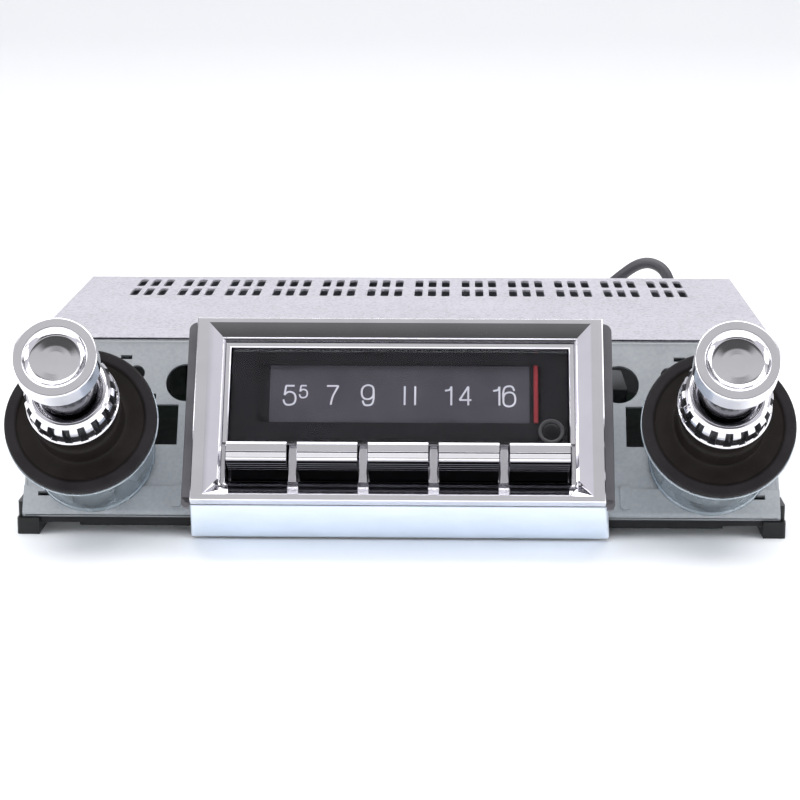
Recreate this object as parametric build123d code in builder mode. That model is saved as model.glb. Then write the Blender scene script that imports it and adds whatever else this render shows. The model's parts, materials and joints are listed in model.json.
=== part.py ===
"""Shaft-style car radio: slanted front, chrome nose with dial and push-buttons, two dual knobs.

Millimetres. +X right, +Y to the back, +Z up. The origin is on the surface that the radio stands
on, under the middle of its box (the pigtail cable not counted).

The front plate leans back, and the shafts, cups, knobs and nose all stand square to it. They are
laid out on the face frame: x across, u up along the plate and d out of its front surface, with
its zero midway between the two control shafts.
"""
import os
from math import cos, pi, radians, sin, tan

from build123d import *

os.makedirs("parts", exist_ok=True)

# ---------------------------------------------------------------- driving dimensions
lean = 33.3  # backward lean of the front plate, degrees
sheet = 0.8  # tray and cover steel
plate_thick = 1.2  # front plate steel

half_width = 114.6  # chassis, outside the tray's side walls
shaft_height = 22.0  # shaft midpoint above the table
tray_bottom = 5.0  # underside of the tray above the table
plate_top = 39.3  # height of the cover's top, measured up the plate
body_depth = 142.6  # shaft midpoint to the back wall

shaft_spacing = 187.4
lip_top = -10.0  # top of the tray's front lip
lip_front = sheet  # the lip lies on the plate's front surface

# nose
nose_front = 34.6  # bezel's front surface
bezel_half = 60.0
bezel_low, bezel_high = -26.0, 31.3
bezel_thick = 3.6
flange_thick = 1.5
opening_half, opening_low, opening_high = 52.2, -20.0, 25.5
panel_front, panel_thick = 30.9, 1.7
window_half, window_low, window_high = 49.6, -6.6, 22.7

# dial
scale_half, scale_low, scale_high = 38.4, 0.4, 18.7
needle_x, needle_width = 40.3, 1.3
rail_d, rail_u, rail_radius = 26.2, 26.8, 1.0

# push-buttons
button_count, button_pitch, button_width = 5, 20.6, 17.5
button_low, button_high = -13.9, -7.7
button_front = 35.6
button_gap = 0.3
well_half, well_low, well_back = 50.4, -20.6, 17.6  # pocket that the buttons stand in
well_wall, well_back_wall = 0.8, 1.2
guide_front = well_back - well_back_wall - 0.8  # front of the buttons' guide flanges

# controls, as distances out of the plate
cup_radius, cup_lip_radius, cup_depth = 18.0, 22.35, 27.7
disc_radius, disc_thick = 22.56, 2.4
hub_radius, hub_height = 13.0, 7.3
bushing_radius, bushing_end = 4.75, 42.0
tube_radius, rod_radius, running_gap = 4.0, 3.0, 0.05
ring_radius, ring_rear, ring_depth, flute_count = 13.57, 45.0, 10.2, 18
flute_depth, flute_width = 1.1, 1.7
knob_radius, knob_front, knob_neck_radius, knob_rear = 12.0, 79.4, 8.6, 56.2
knob_edge = 0.6  # rounding of the knob's front edge
nut_across = 14.0
hex_circumscribed = nut_across / 2 / cos(radians(30))

# back
stud_radius, stud_free_radius = 3.6, 2.9
stud_reach, stud_shoulder = 14.0, 5.0

# pigtail cable
cable_diameter = 4.2

# ---------------------------------------------------------------- frames
lean_cos, lean_sin = cos(radians(lean)), sin(radians(lean))
outward = (0, -lean_cos, lean_sin)
knob_reach = (
    (knob_front - knob_edge) * lean_cos + (knob_radius - knob_edge) * lean_sin + knob_edge
)
back_reach = body_depth + stud_reach
shaft_y = (knob_reach - back_reach) / 2
back_y = shaft_y + body_depth
cover_top = shaft_height + plate_top * lean_cos
tray_top = cover_top - sheet


def yz(d, u):
    """Y and Z of a point d out of the plate and u up along it."""
    return (shaft_y - d * lean_cos + u * lean_sin, shaft_height + d * lean_sin + u * lean_cos)


def face(d=0.0):
    """Plane parallel to the front plate, d out of its surface; its axes are x and u."""
    return Plane(origin=(0, *yz(d, 0)), x_dir=(1, 0, 0), z_dir=outward)


def turning(side):
    """Plane through a control shaft; its axes are the radius and d."""
    return Plane(
        origin=(side * shaft_spacing / 2, *yz(0, 0)),
        x_dir=(1, 0, 0),
        z_dir=(0, -lean_sin, -lean_cos),
    )


def shaft_axis(side):
    return Axis((side * shaft_spacing / 2, *yz(0, 0)), outward)


def on_plate(z):
    """Y of the plate's front surface at height z."""
    return shaft_y + (z - shaft_height) * tan(radians(lean))


def save(part, name):
    part.label = name
    export_step(part, f"parts/{name}.step")


def u_box(x_low, x_high, u_low, u_high):
    """Rectangle on a face plane, given by its edges."""
    with Locations(((x_low + x_high) / 2, (u_low + u_high) / 2)):
        Rectangle(x_high - x_low, u_high - u_low)


def spun(side, points):
    """A turned piece on one control shaft, from its (radius, d) outline."""
    with BuildPart() as piece:
        with BuildSketch(turning(side)):
            with BuildLine():
                Polyline(*points, close=True)
            make_face()
        revolve(axis=shaft_axis(side))
    return piece.part


# ---------------------------------------------------------------- chassis
plate_holes = {"nose": (52.0, -12.0, 28.0), "big": (66.9, 24.2, 6.2), "small": (82.4, 27.3, 2.6)}
lip_slot = (108.4, -12.6)
nose_screw_x = 59.1
vent_slot = (2.8, 14.8)
vent_rows_y = shaft_y + plate_top * lean_sin + 97.3
side_hole_spacing, side_hole_radius, side_hole_z = 60.0, 2.5, 26.0
side_hole_y = shaft_y + 90.0
antenna_x, antenna_z, antenna_bore = 52.0, 32.0, 4.2
power_x, power_z = -12.0, 30.0
power_size = (40.0, 15.0)
gland_x, gland_z, gland_radius = 99.2, 31.0, 4.0
stud_x, stud_z = -62.0, 30.0
board_z, board_thick = 12.0, 1.6
board_front, board_back = shaft_y + 26.0, back_y - 4.0
board_mid = (board_front + board_back) / 2
board_top = board_z + board_thick
board_fixings = (192.0, 96.0)

with BuildPart() as chassis_tray:
    with BuildSketch(Plane.YZ.offset(-half_width)):
        with BuildLine():
            Polyline(
                yz(lip_front, (tray_bottom - shaft_height - lip_front * lean_sin) / lean_cos),
                yz(lip_front, plate_top),
                (back_y, tray_top),
                (back_y, tray_bottom),
                close=True,
            )
        make_face()
        with BuildSketch(mode=Mode.PRIVATE) as above_tray:
            with Locations((0, tray_top + 50)):
                Rectangle(1000, 100)
        add(above_tray.sketch, mode=Mode.SUBTRACT)
    extrude(amount=2 * half_width)
    bend = chassis_tray.edges().filter_by(Axis.X).group_by(Axis.Z)[0].sort_by(Axis.Y)[0]
    fillet(bend, 1.8)
    inner_floor = tray_bottom + sheet
    with BuildSketch(Plane.YZ.offset(-half_width + sheet)):
        with BuildLine():
            Polyline(
                yz(0, (inner_floor - shaft_height) / lean_cos),
                yz(0, plate_top + 5),
                (back_y - sheet, tray_top + 10),
                (back_y - sheet, inner_floor),
                close=True,
            )
        make_face()
    extrude(amount=2 * (half_width - sheet), mode=Mode.SUBTRACT)
    with BuildSketch(face(0)):
        u_box(-half_width - 1, half_width + 1, lip_top, plate_top + 10)
    extrude(amount=10, mode=Mode.SUBTRACT)
    with BuildSketch(face(0)):
        for side in (-1, 1):
            with Locations((side * lip_slot[0], lip_slot[1])):
                Rectangle(3.5, 1.4)
    extrude(amount=3, mode=Mode.SUBTRACT)
    with BuildSketch(face(lip_front)):
        for side in (-1, 1):
            with Locations((side * 68.0, -13.0)):
                RectangleRounded(3.0, 7.4, 1.0)
    extrude(amount=0.5)
    with BuildSketch(Plane.XZ.offset(-back_y - 1)):
        with Locations((antenna_x, antenna_z)):
            Circle(5.6)
        with Locations((power_x, power_z)):
            Rectangle(*power_size)
        with Locations((gland_x, gland_z)):
            Circle(gland_radius)
        with Locations((stud_x, stud_z)):
            Circle(stud_radius)
    extrude(amount=5, mode=Mode.SUBTRACT)
    with BuildSketch(Plane.YZ.offset(-half_width - 1)):
        with Locations((side_hole_y, side_hole_z)):
            with GridLocations(side_hole_spacing, 0, 2, 1):
                Circle(side_hole_radius)
    extrude(amount=2 * half_width + 2, mode=Mode.SUBTRACT)
    with BuildSketch(Plane.XY.offset(inner_floor)):
        with Locations((0, board_mid)):
            with GridLocations(*board_fixings, 2, 2):
                RegularPolygon(3.2, 6)
    extrude(amount=board_z - inner_floor)
save(chassis_tray.part, "chassis_tray")

plate_low, plate_high = -15.5, (tray_top - 0.1 - shaft_height) / lean_cos
with BuildPart() as front_plate:
    top_y, top_z = yz(0, plate_high)
    inside_u = (top_z - plate_thick - shaft_height + plate_thick * lean_sin) / lean_cos
    with BuildSketch(Plane.YZ.offset(-half_width + sheet + 0.1)):
        with BuildLine():
            Polyline(
                yz(0, plate_low),
                (top_y, top_z),
                (top_y + 14, top_z),
                (top_y + 14, top_z - plate_thick),
                yz(-plate_thick, inside_u),
                yz(-plate_thick, plate_low),
                close=True,
            )
        make_face()
    extrude(amount=2 * (half_width - sheet - 0.1))
    bend = front_plate.edges().filter_by(Axis.X).sort_by(Axis.Y)
    front_top = bend.group_by(Axis.Z)[-1].sort_by(Axis.Y)[0]
    fillet(front_top, 1.2)
    with BuildSketch(face(1)):
        u_box(-plate_holes["nose"][0], plate_holes["nose"][0], *plate_holes["nose"][1:])
        for side in (-1, 1):
            with Locations((side * shaft_spacing / 2, 0)):
                Circle(bushing_radius + 0.15)
            for name in ("big", "small"):
                x, u, radius = plate_holes[name]
                with Locations((side * x, u)):
                    Circle(radius)
            with Locations((side * 73.7, 10.3)):
                Rectangle(9.8, 13.2)
            with Locations((side * 85.8, 32.6)):
                Rectangle(3.6, 1.4)
            with Locations((side * 77.9, 19.7)):
                Rectangle(4.0, 1.6)
            with Locations((side * lip_slot[0], lip_slot[1])):
                Rectangle(3.5, 1.4)
            with Locations((side * nose_screw_x, 12), (side * nose_screw_x, -6)):
                Circle(1.3)
    extrude(amount=-3, mode=Mode.SUBTRACT)
save(front_plate.part, "front_plate")

cover_front = yz(0, plate_top)[0]
cover_lip = 9.0
with BuildPart() as top_cover:
    cover_half = half_width + 0.05 + sheet
    cover_back = back_y + 0.05 + sheet
    with BuildSketch(Plane.XY.offset(cover_top - cover_lip)):
        with Locations((0, (cover_front + cover_back) / 2)):
            Rectangle(2 * cover_half, cover_back - cover_front)
    extrude(amount=cover_lip)
    top_edges = top_cover.edges().group_by(Axis.Z)[-1]
    fillet(top_edges.sort_by(Axis.Y)[1:], 0.7)
    with BuildSketch(Plane.XY.offset(cover_top - cover_lip - 1)):
        with Locations((0, cover_front - 10 + (back_y + 0.05 - cover_front + 10) / 2)):
            Rectangle(2 * (half_width + 0.05), back_y + 0.05 - cover_front + 10)
    extrude(amount=cover_lip + 1 - sheet, mode=Mode.SUBTRACT)
    with BuildSketch(Plane.XY.offset(cover_top + 1)):
        with Locations((0, vent_rows_y)):
            with GridLocations(16.42, 19.6, 12, 2):
                with GridLocations(4.69, 0, 3, 1):
                    RectangleRounded(*vent_slot, 1.2)
    extrude(amount=-3, mode=Mode.SUBTRACT)
    with BuildSketch(Plane.YZ.offset(-half_width - 3)):
        with Locations((cover_front, cover_top - cover_lip)):
            Rectangle(16, 2 * (cover_lip - sheet - 0.5))
    extrude(amount=2 * half_width + 6, mode=Mode.SUBTRACT)
save(top_cover.part, "top_cover")

pan_front = on_plate(tray_bottom) + 2.2
with BuildPart() as bottom_pan:
    with BuildSketch(Plane.XY.offset(tray_bottom)):
        with Locations((0, (pan_front + back_y) / 2)):
            Rectangle(2 * 109.4, back_y - pan_front)
    extrude(amount=-1.7)
    with BuildSketch(Plane.XY.offset(tray_bottom - 1.7)):
        with Locations((0, (pan_front + back_y) / 2)):
            Rectangle(2 * 97.5, back_y - pan_front)
    extrude(amount=-1.0)
    front_edges = bottom_pan.edges().filter_by(Axis.X).group_by(Axis.Z)[0]
    fillet(front_edges, 0.6)
save(bottom_pan.part, "bottom_pan")

foot_inner, foot_outer, foot_length, foot_lug = 109.5, 116.3, 14.0, 9.5
with BuildPart() as corner_feet:
    foot_fronts = (on_plate(tray_bottom) + 0.2, back_y - foot_length + 1.2)
    for side in (-1, 1):
        for foot_front in foot_fronts:
            foot_y = foot_front + foot_length / 2
            lug_low, lug_high = half_width + 0.05, foot_outer
            with BuildSketch(Plane.XY):
                with Locations((side * (foot_inner + foot_outer) / 2, foot_y)):
                    Rectangle(foot_outer - foot_inner, foot_length)
            extrude(amount=tray_bottom)
            with BuildSketch(Plane.XY.offset(tray_bottom)):
                with Locations((side * (lug_low + lug_high) / 2, foot_y + 1.4)):
                    Rectangle(lug_high - lug_low, foot_length - 2.8)
            extrude(amount=foot_lug - tray_bottom)
    fillet(corner_feet.edges().filter_by(Axis.Z).group_by(Axis.X)[0], 1.0)
    fillet(corner_feet.edges().filter_by(Axis.Z).group_by(Axis.X)[-1], 1.0)
save(corner_feet.part, "corner_feet")

# ---------------------------------------------------------------- nose
flange_front = nose_front - bezel_thick
flange_back = flange_front - flange_thick
sleeve_wall = 1.2
with BuildPart() as nose_sleeve:
    for inset, mode in ((0.0, Mode.ADD), (sleeve_wall, Mode.SUBTRACT)):
        for d, half in ((flange_back, 60.3), (lip_front, 62.9)):
            with BuildSketch(face(d)):
                u_box(-half + inset, half - inset, bezel_low + inset, bezel_high - inset)
        loft(mode=mode)
    with BuildSketch(face(lip_front)):
        for side in (-1, 1):
            u_box(*sorted((side * 56.8, side * 62.0)), -9.9, bezel_high - 0.6)
    extrude(amount=1.2)
    with BuildSketch(face(0)):
        for side in (-1, 1):
            with Locations((side * nose_screw_x, 12), (side * nose_screw_x, -6)):
                Circle(1.3)
    extrude(amount=4, mode=Mode.SUBTRACT)
save(nose_sleeve.part, "nose_sleeve")

cover_screw_rows = (cover_front + 70, cover_front + 112)
with BuildPart() as screws:
    for side in (-1, 1):
        lip = Plane(origin=(side * cover_half, 0, 0), x_dir=(0, 1, 0), z_dir=(side, 0, 0))
        with BuildSketch(lip):
            with Locations(*[(y, side * (cover_top - 4.2)) for y in cover_screw_rows]):
                Circle(2.6)
        extrude(amount=1.5)
    with BuildSketch(face(lip_front + 1.2)):
        for side in (-1, 1):
            with Locations((side * nose_screw_x, 12), (side * nose_screw_x, -6)):
                Circle(2.1)
    extrude(amount=1.4)
    with BuildSketch(face(lip_front + 1.2)):
        for side in (-1, 1):
            with Locations((side * nose_screw_x, 12), (side * nose_screw_x, -6)):
                Circle(1.25)
    extrude(amount=-5)
    with BuildSketch(Plane.XY.offset(board_top)):
        with Locations((0, board_mid)):
            with GridLocations(*board_fixings, 2, 2):
                Circle(2.8)
    extrude(amount=1.8)
save(screws.part, "screws")

with BuildPart() as nose_flange:
    with BuildSketch(face(flange_back)):
        with Locations((0, (bezel_low - 0.9 + bezel_high) / 2)):
            RectangleRounded(2 * 62.8, bezel_high - bezel_low + 0.9, 2.5)
        with BuildSketch(mode=Mode.PRIVATE) as flange_window:
            u_box(-55.0, 55.0, -22.5, 28.0)
        add(flange_window.sketch, mode=Mode.SUBTRACT)
    extrude(amount=flange_thick)
save(nose_flange.part, "nose_flange")

with BuildPart() as trim_bezel:
    with BuildSketch(face(flange_front)):
        u_box(-bezel_half, bezel_half, bezel_low, bezel_high)
        with BuildSketch(mode=Mode.PRIVATE) as bezel_opening:
            u_box(-opening_half, opening_half, opening_low, opening_high)
        add(bezel_opening.sketch, mode=Mode.SUBTRACT)
    extrude(amount=bezel_thick)
    chamfer(trim_bezel.edges().filter_by(lambda e: e.length > bezel_half).group_by(Axis.Z)[-1], 0.5)
    with BuildSketch(face(nose_front - 1.6)):
        u_box(-opening_half, opening_half, opening_low, opening_high)
    with BuildSketch(face(nose_front + 0.01)):
        u_box(-56.3, 56.3, -24.3, 29.6)
    loft(mode=Mode.SUBTRACT)
save(trim_bezel.part, "trim_bezel")

button_xs = [button_pitch * (i - (button_count - 1) / 2) for i in range(button_count)]
well_high = window_low - well_wall
with BuildPart() as face_panel:
    with BuildSketch(face(panel_front)):
        u_box(-54.5, 54.5, -22.0, 27.5)
    extrude(amount=-panel_thick)
    with BuildSketch(face(panel_front)):
        u_box(-well_half - well_wall, well_half + well_wall, well_low - well_wall, window_low)
    extrude(amount=-(panel_front - well_back + well_back_wall))
    with BuildSketch(face(panel_front)):
        u_box(-well_half, well_half, well_low, well_high)
    extrude(amount=-(panel_front - well_back), mode=Mode.SUBTRACT)
    with BuildSketch(face(panel_front)):
        u_box(-window_half, window_half, window_low, window_high)
    extrude(amount=-panel_thick, mode=Mode.SUBTRACT)
    with BuildSketch(face(well_back)):
        for x in button_xs:
            half = button_width / 2 + button_gap
            u_box(x - half, x + half, button_low - button_gap, button_high + button_gap)
    extrude(amount=-2 * well_back_wall, mode=Mode.SUBTRACT)
save(face_panel.part, "face_panel")

with BuildPart() as window_frame:
    with BuildSketch(face(panel_front)):
        u_box(-51.6, 51.6, window_low - 0.6, window_high + 1.8)
        with BuildSketch(mode=Mode.PRIVATE) as frame_opening:
            u_box(-window_half - 0.3, window_half + 0.3, window_low - 2, window_high + 0.1)
        add(frame_opening.sketch, mode=Mode.SUBTRACT)
    extrude(amount=1.0)
save(window_frame.part, "window_frame")

with BuildPart() as dial_lens:
    with BuildSketch(face(panel_front)):
        u_box(-window_half + 0.1, window_half - 0.1, window_low + 0.1, window_high - 0.1)
    extrude(amount=-1.5)
save(dial_lens.part, "dial_lens")

with BuildPart() as dial_mask:
    with BuildSketch(face(panel_front - 1.7)):
        u_box(-window_half + 0.1, window_half - 0.1, window_low + 0.1, window_high - 0.1)
        with BuildSketch(mode=Mode.PRIVATE) as mask_opening:
            u_box(-41.9, 41.9, 0.1, 18.4)
        add(mask_opening.sketch, mode=Mode.SUBTRACT)
    extrude(amount=-0.5)
save(dial_mask.part, "dial_mask")

with BuildPart() as dial_plate:
    with BuildSketch(face(25.9)):
        u_box(-51.4, 51.4, -6.2, 24.0)
        for side in (-1, 1):
            u_box(*sorted((side * 47.4, side * 51.4)), 20.0, 29.0)
    extrude(amount=1.5)
    with BuildSketch(Plane.YZ.offset(-60)):
        with Locations(yz(rail_d, rail_u)):
            Circle(rail_radius + 0.02)
    extrude(amount=120, mode=Mode.SUBTRACT)
save(dial_plate.part, "dial_plate")

with BuildPart() as dial_scale:
    with BuildSketch(face(27.4)):
        u_box(-scale_half, scale_half, scale_low, scale_high)
    extrude(amount=0.2)
save(dial_scale.part, "dial_scale")

with BuildPart() as pointer_rail:
    with BuildSketch(Plane.YZ.offset(-51.4)):
        with Locations(yz(rail_d, rail_u)):
            Circle(rail_radius)
    extrude(amount=102.8)
save(pointer_rail.part, "pointer_rail")

with BuildPart() as dial_pointer:
    with BuildSketch(face(27.9)):
        u_box(needle_x - needle_width / 2, needle_x + needle_width / 2, scale_low + 0.2, 26.0)
    extrude(amount=0.5)
save(dial_pointer.part, "dial_pointer")

with BuildPart() as pointer_carriage:
    with BuildSketch(face(24.4)):
        u_box(needle_x - 4, needle_x + 4, 24.4, 29.0)
    extrude(amount=3.5)
    with BuildSketch(Plane.YZ.offset(0)):
        with Locations(yz(rail_d, rail_u)):
            Circle(rail_radius + running_gap)
    extrude(amount=60, mode=Mode.SUBTRACT)
save(pointer_carriage.part, "pointer_carriage")

with BuildPart() as light_guide:
    with BuildSketch(face(22.0)):
        u_box(-46.0, 46.0, -4.5, 22.0)
    extrude(amount=3.8)
    fillet(light_guide.edges().filter_by(lambda e: abs(e.length - 3.8) < 0.01), 1.5)
save(light_guide.part, "light_guide")

with BuildPart() as dial_lamps:
    with BuildSketch(face(20.2)):
        with Locations((0, 9)):
            with GridLocations(17, 12, 5, 2):
                Rectangle(3.5, 2.8)
    extrude(amount=1.7)
save(dial_lamps.part, "dial_lamps")

with BuildPart() as display_board:
    with BuildSketch(face(18.6)):
        u_box(-51.4, 51.4, -5.4, 24.0)
    extrude(amount=1.6)
save(display_board.part, "display_board")

with BuildPart() as switch_board:
    with BuildSketch(face(guide_front - 11.4)):
        u_box(-51.4, 51.4, -21.4, -6.4)
    extrude(amount=1.6)
save(switch_board.part, "switch_board")

button_mid = (button_low + button_high) / 2
with BuildPart() as button_switches:
    with BuildSketch(face(guide_front - 9.8)):
        with Locations(*[(x, button_mid) for x in button_xs]):
            Rectangle(6.0, 6.0)
    extrude(amount=2.4)
    with BuildSketch(face(guide_front - 7.4)):
        with Locations(*[(x, button_mid) for x in button_xs]):
            Circle(1.7)
    extrude(amount=1.0)
save(button_switches.part, "button_switches")

with BuildPart() as dial_housing:
    with BuildSketch(face(2.2)):
        u_box(-53.0, 53.0, -23.4, 26.0)
        with BuildSketch(mode=Mode.PRIVATE) as housing_inside:
            u_box(-51.5, 51.5, -21.9, 24.4)
        add(housing_inside.sketch, mode=Mode.SUBTRACT)
    extrude(amount=21.6)
save(dial_housing.part, "dial_housing")

sensor_x, sensor_u, sensor_radius = 44.6, -3.0, 3.8
with BuildPart() as sensor_ring:
    with BuildSketch(face(panel_front)):
        with Locations((sensor_x, sensor_u)):
            Circle(sensor_radius)
            Circle(sensor_radius - 1.2, mode=Mode.SUBTRACT)
    extrude(amount=0.7)
save(sensor_ring.part, "sensor_ring")

with BuildPart() as sensor_lens:
    with BuildSketch(face(panel_front)):
        with Locations((sensor_x, sensor_u)):
            Circle(sensor_radius - 1.2)
    extrude(amount=0.6)
    fillet(sensor_lens.edges().filter_by(GeomType.CIRCLE).sort_by(Axis.Z)[-1], 0.5)
save(sensor_lens.part, "sensor_lens")


# ---------------------------------------------------------------- push-buttons
def push_button(x):
    """A long capped key: grooved top edge, rounded front, guide flange and a switch pad."""
    side_plane = Plane(origin=(x + button_width / 2, *yz(0, 0)), x_dir=outward, z_dir=(-1, 0, 0))
    edge = button_front - 0.6
    with BuildPart() as button:
        with BuildSketch(side_plane):
            with BuildLine():
                Polyline(
                    (guide_front, button_low),
                    (button_front - 2.2, button_low),
                    (button_front - 0.9, button_low + 0.6),
                )
                ThreePointArc(
                    (button_front - 0.9, button_low + 0.6),
                    (button_front - 0.1, button_low + 2.0),
                    (button_front, button_high - 1.9),
                )
                Polyline(
                    (button_front, button_high - 1.9),
                    (edge - 0.1, button_high - 1.4),
                    (edge - 0.1, button_high - 1.1),
                    (edge + 0.2, button_high - 0.9),
                    (edge - 0.3, button_high - 0.2),
                    (edge - 1.0, button_high),
                    (guide_front, button_high),
                    (guide_front, button_low),
                )
            make_face()
        extrude(amount=button_width)
        with BuildSketch(face(guide_front - 1.4)):
            with Locations((x, button_mid)):
                Rectangle(button_width + 1.8, button_high - button_low + 1.4)
        extrude(amount=1.4)
        with BuildSketch(face(guide_front - 3.5)):
            with Locations((x, button_mid)):
                Rectangle(8.0, 5.4)
        extrude(amount=2.1)
    return button.part


for i, x in enumerate(button_xs):
    save(push_button(x), f"button_{i + 1}")


# ---------------------------------------------------------------- dual controls
cup_floor = lip_front + 0.8
disc_back = lip_front + cup_depth
disc_front = disc_back + disc_thick
hub_front = disc_front + hub_height
shaft_points = [(side * shaft_spacing / 2, 0) for side in (-1, 1)]


def cup_outline():
    wall_inner = cup_radius - 0.8
    hole = bushing_radius + 0.15
    return [
        (hole, lip_front),
        (cup_radius + 0.6, lip_front),
        (cup_radius + 0.6, cup_floor),
        (cup_radius, cup_floor + 0.4),
        (cup_radius, disc_back - 1.3),
        (cup_radius + 0.5, disc_back - 0.8),
        (cup_lip_radius, disc_back - 0.8),
        (cup_lip_radius, disc_back),
        (cup_radius - 0.3, disc_back),
        (wall_inner, disc_back - 0.5),
        (wall_inner, cup_floor),
        (hole, cup_floor),
    ]


def disc_outline():
    groove = disc_radius * 0.845
    return [
        (bushing_radius + 0.15, disc_back),
        (disc_radius - 0.3, disc_back),
        (disc_radius, disc_back + 0.4),
        (disc_radius, disc_front - 0.4),
        (disc_radius - 0.4, disc_front),
        (groove + 0.2, disc_front),
        (groove, disc_front - 0.7),
        (hub_radius + 1.0, disc_front - 0.9),
        (hub_radius, disc_front - 0.5),
        (hub_radius, hub_front - 0.5),
        (hub_radius - 0.5, hub_front),
        (bushing_radius + 0.15, hub_front),
    ]


with BuildPart() as shaft_bushings:
    with BuildSketch(face(-plate_thick)):
        with Locations(*shaft_points):
            Circle(bushing_radius)
            Circle(tube_radius + running_gap, mode=Mode.SUBTRACT)
    extrude(amount=bushing_end + plate_thick)
    chamfer(shaft_bushings.edges().filter_by(GeomType.CIRCLE).group_by(Axis.Z)[-1], 0.3)
save(shaft_bushings.part, "shaft_bushings")

with BuildPart() as shaft_nuts:
    for d in (cup_floor, hub_front):
        with BuildSketch(face(d)):
            with Locations(*shaft_points):
                RegularPolygon(hex_circumscribed, 6)
                Circle(bushing_radius + 0.02, mode=Mode.SUBTRACT)
        extrude(amount=2.4)
save(shaft_nuts.part, "shaft_nuts")

# concentric dual controls, each bored for both of its shafts
control_back, control_width = -14.0, 17.0
with BuildPart() as control_bodies:
    with BuildSketch(face(control_back)):
        with Locations(*shaft_points):
            RectangleRounded(control_width, control_width, 1.5)
    extrude(amount=-plate_thick - control_back)
    for radius, depth in ((tube_radius, 7.4), (rod_radius, 11.0)):
        with BuildSketch(face(-plate_thick)):
            with Locations(*shaft_points):
                Circle(radius + running_gap)
        extrude(amount=-depth, mode=Mode.SUBTRACT)
save(control_bodies.part, "control_bodies")


def tube_outline():
    return [
        (rod_radius + running_gap, -8.2),
        (tube_radius, -8.2),
        (tube_radius, ring_rear + 8.2),
        (rod_radius + running_gap, ring_rear + 8.2),
    ]


def rod_outline():
    return [(0, -11.8), (rod_radius, -11.8), (rod_radius, knob_front - 4.2), (0, knob_front - 4.2)]


def ring_knob(side):
    """Fluted rear knob: thin smooth rim, straight flutes, stepped front face, hollow back."""
    front = ring_rear + ring_depth
    fluted = ring_radius - 0.5
    outline = [
        (tube_radius, ring_rear + 1.0),
        (6.4, ring_rear + 1.0),
        (6.4, ring_rear + 5.5),
        (11.2, ring_rear + 5.5),
        (11.2, ring_rear),
        (ring_radius, ring_rear),
        (ring_radius, ring_rear + 1.0),
        (fluted, ring_rear + 1.4),
        (fluted, front - 2.2),
        (10.9, front),
        (9.6, front),
        (9.4, front - 1.2),
        (tube_radius, front - 1.2),
    ]
    with BuildPart() as ring:
        with BuildSketch(turning(side)):
            with BuildLine():
                Polyline(*outline, close=True)
            make_face()
        revolve(axis=shaft_axis(side))
        with BuildSketch(face(ring_rear + 1.8)):
            with Locations((side * shaft_spacing / 2, 0)):
                with PolarLocations(ring_radius, flute_count):
                    Rectangle(2 * flute_depth + 1.0, flute_width)
        extrude(amount=ring_depth, mode=Mode.SUBTRACT)
    return ring.part


def knob_outline():
    bore_end = knob_front - 4.2
    neck_end = knob_front - 7.6
    return [
        (rod_radius, knob_rear),
        (knob_neck_radius - 0.4, knob_rear),
        (knob_neck_radius, knob_rear + 0.4),
        (knob_neck_radius, neck_end - 0.6),
        (knob_neck_radius + 0.6, neck_end),
        (knob_radius - 0.5, neck_end),
        (knob_radius, neck_end + 0.5),
        (knob_radius, knob_front - 0.6),
        (knob_radius - 0.18, knob_front - 0.18),
        (knob_radius - 0.6, knob_front),
        (0.76 * knob_radius, knob_front),
        (0.66 * knob_radius, knob_front - 0.9),
        (0.60 * knob_radius, knob_front - 0.7),
        (0.35 * knob_radius, knob_front - 1.7),
        (0, knob_front - 2.0),
        (0, bore_end),
        (rod_radius, bore_end),
    ]


for side, name in ((-1, "left"), (1, "right")):
    save(spun(side, cup_outline()), f"{name}_cup")
    save(spun(side, disc_outline()), f"{name}_disc")
    save(spun(side, tube_outline()), f"{name}_ring_shaft")
    save(ring_knob(side), f"{name}_ring_knob")
    save(spun(side, rod_outline()), f"{name}_knob_shaft")
    save(spun(side, knob_outline()), f"{name}_knob")

# ---------------------------------------------------------------- electronics
with BuildPart() as main_board:
    with BuildSketch(Plane.XY.offset(board_z)):
        with Locations((0, board_mid)):
            Rectangle(208.0, board_back - board_front)
    extrude(amount=board_thick)
save(main_board.part, "main_board")

sink_x = -70.0
with BuildPart() as heat_sink:
    with BuildSketch(Plane.XY.offset(board_top)):
        with Locations((sink_x, back_y - 12.0)):
            Rectangle(32, 3)
            with GridLocations(4, 0, 8, 1):
                with Locations((0, 5)):
                    Rectangle(1.4, 9)
    extrude(amount=26)
save(heat_sink.part, "heat_sink")

with BuildPart() as amplifier_chip:
    with BuildSketch(Plane.XY.offset(board_top + 3)):
        with Locations((sink_x, back_y - 15.8)):
            Rectangle(20, 4.6)
    extrude(amount=12)
    with BuildSketch(Plane.XY.offset(board_top)):
        with Locations((sink_x, back_y - 15.8)):
            with GridLocations(1.7, 0, 11, 1):
                Rectangle(0.8, 0.6)
    extrude(amount=3)
save(amplifier_chip.part, "amplifier_chip")

with BuildPart() as capacitors:
    with BuildSketch(Plane.XY.offset(board_top)):
        with Locations((-30, board_front + 62), (-48, board_front + 62), (-66, board_front + 58)):
            Circle(6.4)
    extrude(amount=21)
    with BuildSketch(Plane.XY.offset(board_top)):
        with Locations((0, board_front + 28)):
            with GridLocations(14, 12, 4, 2):
                Circle(3.1)
    extrude(amount=11)
    fillet(capacitors.edges().filter_by(GeomType.CIRCLE).filter_by_position(
        Axis.Z, board_top + 5, board_top + 30), 0.6)
save(capacitors.part, "capacitors")

with BuildPart() as tuner_module:
    with BuildSketch(Plane.XY.offset(board_top)):
        with Locations((antenna_x, back_y - 40)):
            Rectangle(46, 34)
    extrude(amount=12)
    fillet(tuner_module.edges().filter_by(Axis.Z), 1.0)
save(tuner_module.part, "tuner_module")

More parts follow.
